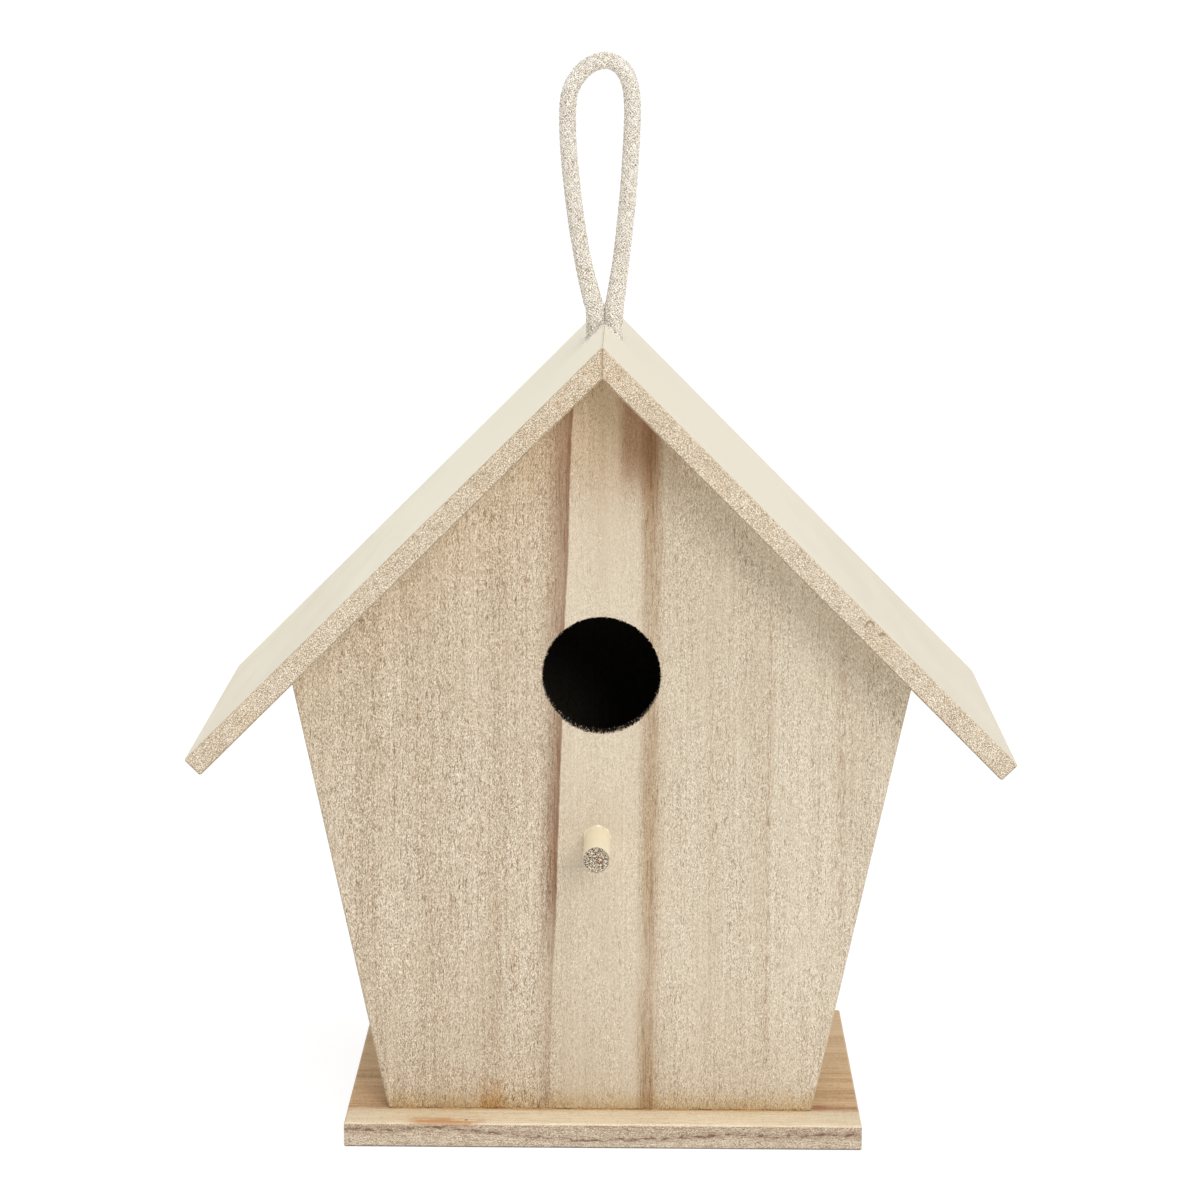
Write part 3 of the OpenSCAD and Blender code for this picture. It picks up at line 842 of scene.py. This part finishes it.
def make_hole_lip():
    """Fluff pressed into the ridge hole round the cord, just below the roof's surface."""
    lip = Mesh()
    turns = np.linspace(0, 2 * math.pi, 97)
    for ring_r, depth, half in ((4.55 * MM, 0.1 * MM, 0.5 * MM), (3.6 * MM, 0.4 * MM, 0.65 * MM)):
        x, y = ring_r * np.cos(turns), ring_r * np.sin(turns)
        bumps = np.array([1 + 0.25 * math.sin(7 * t + ring_r * 900) * math.sin(3 * t) for t in turns])
        centres = np.stack([x, y, RIDGE_Z - np.abs(x) - depth], 1)
        side, up = carried_sides(centres)
        lip.tube(centres, side, up, half * bumps, half * bumps, 8, 0.3)
    piece = lip.finish("hole_fluff", cotton_cord)
    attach(piece, "house")


cord = make_cord()
cord_fuzz = make_fuzz()
tied_knot = make_knot()
make_fray()
make_hole_lip()


# ---------------------------------------------------------------- small pieces of the house
def make_foot_glue():
    """Dried glue squeezed out along the front panel's foot."""
    bead = Mesh()
    reach = FOOT_HALF_W - 1.2 * MM
    xs = np.arange(-reach, reach, 0.5 * MM)
    size = np.array([0.2 + 0.16 * math.sin(x / (5.3 * MM)) * math.sin(x / (1.9 * MM)) + 0.1 * rng.random()
                     for x in xs]) * MM
    centres = np.stack([xs, np.full(len(xs), FRONT_Y + 0.05 * MM), np.full(len(xs), FOOT_Z + 0.05 * MM)], 1)
    side, up = carried_sides(centres)
    bead.tube(centres, side, up, 1.1 * size, size, 10)
    piece = bead.finish("foot_glue", dried_glue("foot_glue", 196, 156, 96))
    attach(piece, "house")


def make_perch_glue():
    """A thin ring of glue where the perch enters the panel."""
    ring = Mesh()
    turns = np.linspace(0, 2 * math.pi, 73)
    centres = np.stack([PERCH_AXIS.x + (PERCH_R + 0.05 * MM) * np.cos(turns), np.full(len(turns), FRONT_Y),
                        PERCH_AXIS.z + (PERCH_R + 0.05 * MM) * np.sin(turns)], 1)
    out = unit(centres - np.array([PERCH_AXIS.x, FRONT_Y, PERCH_AXIS.z]))
    size = np.array([0.12 + 0.26 * max(0, math.sin(t)) ** 0.5 * rng.uniform(0.6, 1.1) for t in turns]) * MM
    ring.tube(centres, out, np.tile([0.0, -1.0, 0.0], (len(turns), 1)), size, size, 8)
    piece = ring.finish("perch_glue", dried_glue("perch_glue", 246, 238, 220))
    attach(piece, "house")


def make_hole_splinters():
    """Torn fibres left by the drill round the entrance."""
    splinters = Mesh()
    for _ in range(800):
        turn = rng.choice([rng.uniform(0, 2), rng.uniform(1.1, 1.9)]) * math.pi
        inward = np.array([-math.cos(turn), 0, -math.sin(turn)])
        depth = rng.choice([rng.uniform(0, 0.35), rng.uniform(0, 0.35), rng.uniform(0.1, 5.5)]) * MM
        root = np.array(HOLE_CENTRE) * [1, 0, 1] - inward * (HOLE_R + 0.1 * MM) + [0, FRONT_Y + depth, 0]
        heading = inward + np.array([rng.uniform(-0.8, 0.8), rng.uniform(-0.3, 0.3), rng.uniform(-0.8, 0.8)])
        hair(splinters, root, heading, rng.uniform(0.2, 0.5) * MM, rng.uniform(0.06, 0.12) * MM, rng, 0.3)
    piece = splinters.finish("hole_splinters", splinter_wood("splinter_wood"))
    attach(piece, "house")


make_foot_glue()
make_perch_glue()
make_hole_splinters()


# ---------------------------------------------------------------- materials of the CAD nodes
def dress(node, material):
    mesh = frame["nodes"][node].data
    mesh.materials.clear()
    mesh.materials.append(material)
    mesh.polygons.foreach_set("material_index", [0] * len(mesh.polygons))


dress("front_panel", panel_wood("front_panel_wood", True))
plain_panel = panel_wood("panel_wood", False)
for node in ("back_panel", "left_side_panel", "right_side_panel"):
    dress(node, plain_panel)
dress("left_roof_board", roof_wood("left_roof_wood", 5.0, LEFT_TOP_PAINTED_LIGHT_SHADES, 0.41))
dress("right_roof_board", roof_wood("right_roof_wood", 15.0, RIGHT_TOP_SHADES, 0.45, END_CURLS))
dress("base_board", base_wood("base_wood"))
dress("perch", perch_wood("perch_wood"))
steel = brad_steel("brad_steel")
for node in ("base_brads", "back_brads"):
    dress(node, steel)


# ---------------------------------------------------------------- floor and light
FLOOR_R = 3
FLOOR_GLOW = 0.88
FLOOR_GREYS = [(0.3, (0.17, 0.17, 0.17, 1)), (0.7, (0.2, 0.2, 0.2, 1))]
WORLD_LIGHT, BACKDROP_WHITE = 0.565, 1.05
WHITE = (1, 1, 1, 1)


def make_floor():
    """A wide, round, pale floor that shines faintly, so that it is white like the backdrop."""
    floor = Mesh()
    turns = np.linspace(0, 2 * math.pi, 96, endpoint=False)
    rim = np.stack([FLOOR_R * np.cos(turns), FLOOR_R * np.sin(turns), np.zeros(len(turns))], 1)
    floor.add(rim, [tuple(range(len(turns)))])
    n = Nodes("pale_floor", 0.9, Specular_IOR_Level=0.1, Emission_Strength=FLOOR_GLOW)
    n.shader.inputs["Emission Color"].default_value = WHITE
    haze = n.noise((0.4, 0.4, 0.4), 1.0, 1)
    piece = floor.finish("floor", n.done(n.ramp(haze, FLOOR_GREYS)))


def make_sun(name, towards, strength, soft_degrees):
    """Soft light that travels along a direction, its strength as the white it gives a facing surface."""
    light = bpy.data.lights.new(name, "SUN")
    light.energy = strength * math.pi
    light.angle = math.radians(soft_degrees)
    lamp = bpy.data.objects.new(name, light)
    lamp.rotation_euler = Vector(towards).to_track_quat("-Z", "Y").to_euler()
    bpy.context.scene.collection.objects.link(lamp)


def make_world():
    """Even white light from all round; the backdrop itself is seen pure white."""
    world = bpy.data.worlds.new("studio")
    world.use_nodes = True
    nodes, links = world.node_tree.nodes, world.node_tree.links
    background = nodes["Background"]
    background.inputs[0].default_value = WHITE
    seen = nodes.new("ShaderNodeLightPath").outputs["Is Camera Ray"]
    level = nodes.new("ShaderNodeMapRange")
    level.inputs[3].default_value = WORLD_LIGHT
    level.inputs[4].default_value = BACKDROP_WHITE
    links.new(seen, level.inputs[0])
    links.new(level.outputs[0], background.inputs[1])
    bpy.context.scene.world = world


make_floor()
make_world()
make_sun("key_light", (-0.37, 1.0, -0.48), 0.36, 25)
make_sun("top_light", (-0.15, 0.25, -1.0), 0.36, 50)
bpy.context.scene.view_settings.view_transform = "Standard"
